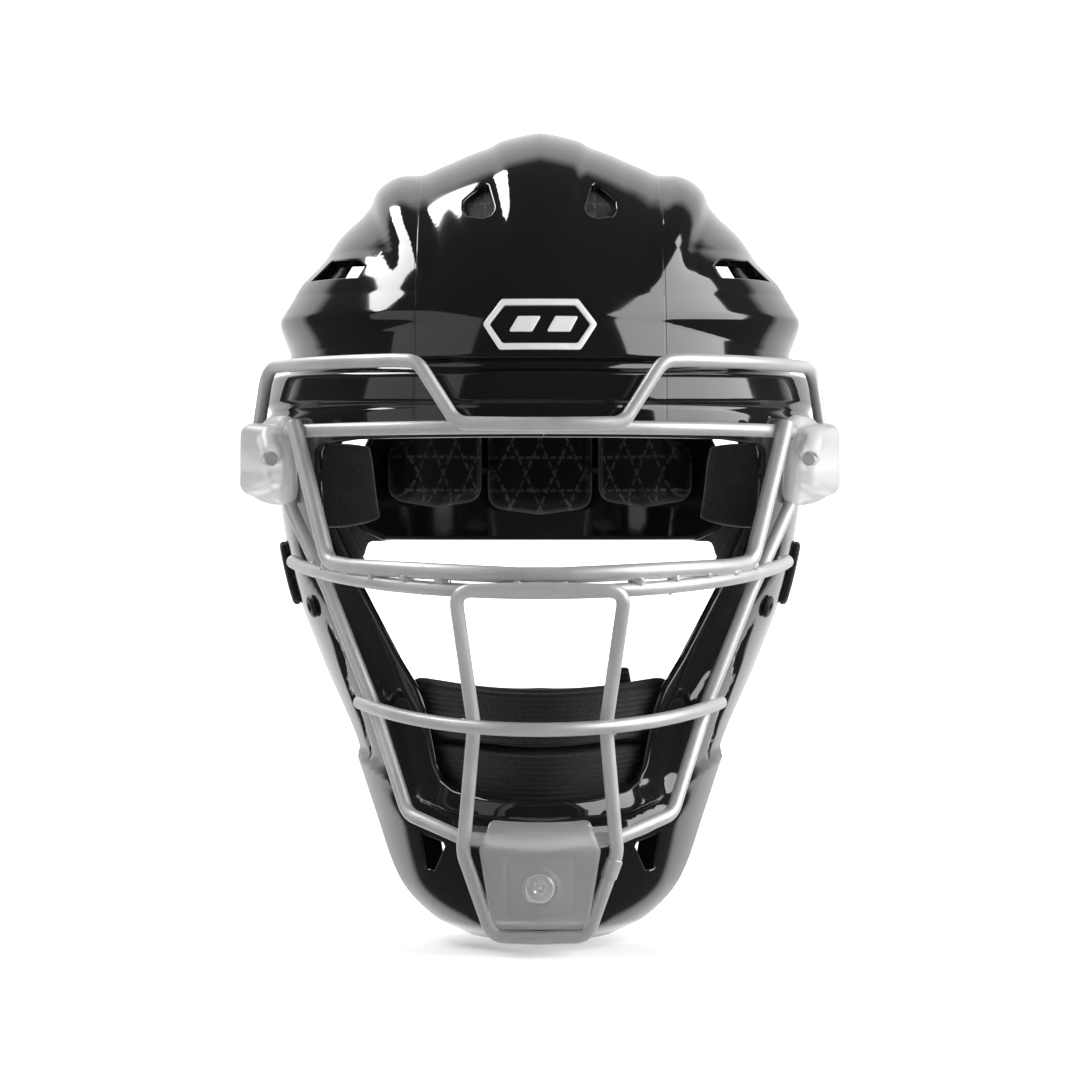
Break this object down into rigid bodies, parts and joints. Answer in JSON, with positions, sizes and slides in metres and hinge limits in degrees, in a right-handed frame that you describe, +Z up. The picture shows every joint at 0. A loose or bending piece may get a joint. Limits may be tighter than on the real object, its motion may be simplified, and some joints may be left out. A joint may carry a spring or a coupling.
{
  "type": "catchers mask",
  "caption": "Hockey-style baseball catcher's mask: glossy one-piece shell, welded wire cage held by clear clips, foam pads, and a back plate on elastic straps.",
  "frame": {"origin": "centre of the wearer's head, midway between the ear canals, on the mask's plane of symmetry", "axes": "-Y the way the face looks, +X the wearer's left, +Z up"},
  "size_m": [0.2338, 0.2887, 0.315],
  "materials": {
    "shell_black": "high-gloss moulded black ABS",
    "badge_white": "white printed badge under clear coat",
    "wire_silver": "silver powder coat over steel wire",
    "clip_clear": "frosted clear polycarbonate",
    "screw_chrome": "bright plated steel",
    "pad_fabric": "black fabric over soft foam",
    "trim_black": "satin black nylon",
    "strap_elastic": "woven black elastic webbing"
  },
  "bodies": {
    "shell": {"front_shell": "shell_black", "brow_badge": "badge_white", "cage_brow_bar": "wire_silver", "cage_outer_loop": "wire_silver", "cage_eye_frame": "wire_silver", "cage_cheek_bar": "wire_silver", "cage_mouth_bar": "wire_silver", "cage_nose_loop": "wire_silver", "side_clip_left": "clip_clear", "side_clip_right": "clip_clear", "chin_clip": "clip_clear", "side_screw_left": "screw_chrome", "side_screw_right": "screw_chrome", "chin_screw": "screw_chrome", "side_nut_left": "screw_chrome", "side_nut_right": "screw_chrome", "chin_nut": "screw_chrome", "brow_pad": "pad_fabric", "crown_pad_front": "pad_fabric", "crown_pad_rear": "pad_fabric", "temple_pad_left": "pad_fabric", "temple_pad_right": "pad_fabric", "jaw_pad_left": "pad_fabric", "jaw_pad_right": "pad_fabric", "chin_pad": "pad_fabric", "chin_pad_tab": "pad_fabric", "eyelet_left": "trim_black", "eyelet_right": "trim_black", "top_strap": "strap_elastic", "top_strap_anchor": "trim_black", "side_strap_left": "strap_elastic", "side_strap_right": "strap_elastic", "strap_tab_left": "strap_elastic", "strap_tab_right": "strap_elastic"},
    "strap_carriage": {"top_strap_loop": "strap_elastic", "strap_slide_left": "trim_black", "strap_slide_right": "trim_black"},
    "back_plate": {"back_plate": "shell_black", "hinge_bar": "screw_chrome", "hinge_bracket": "trim_black", "rear_pad_left": "pad_fabric", "rear_pad_centre": "pad_fabric", "rear_pad_right": "pad_fabric", "strap_end_left": "strap_elastic", "strap_end_right": "strap_elastic", "plate_rivets": "screw_chrome"}
  },
  "joints": [
    {"name": "back_plate_pull", "type": "slide", "parent": "shell", "child": "strap_carriage", "axis": [0, 1, 0], "range_m": [0, 0.018], "stiffness_N_per_m": 300, "springref_m": -0.01, "deforming": ["top_strap", "side_strap_left", "side_strap_right"]},
    {"name": "back_plate_tilt", "type": "hinge", "parent": "strap_carriage", "child": "back_plate", "pos_m": [0, 0.118, 0.072], "axis": [1, 0, 0], "range_deg": [0, 22], "stiffness_Nm_per_rad": 0.5, "springref_deg": -8.59, "deforming": ["strap_end_left", "strap_end_right"]}
  ]
}
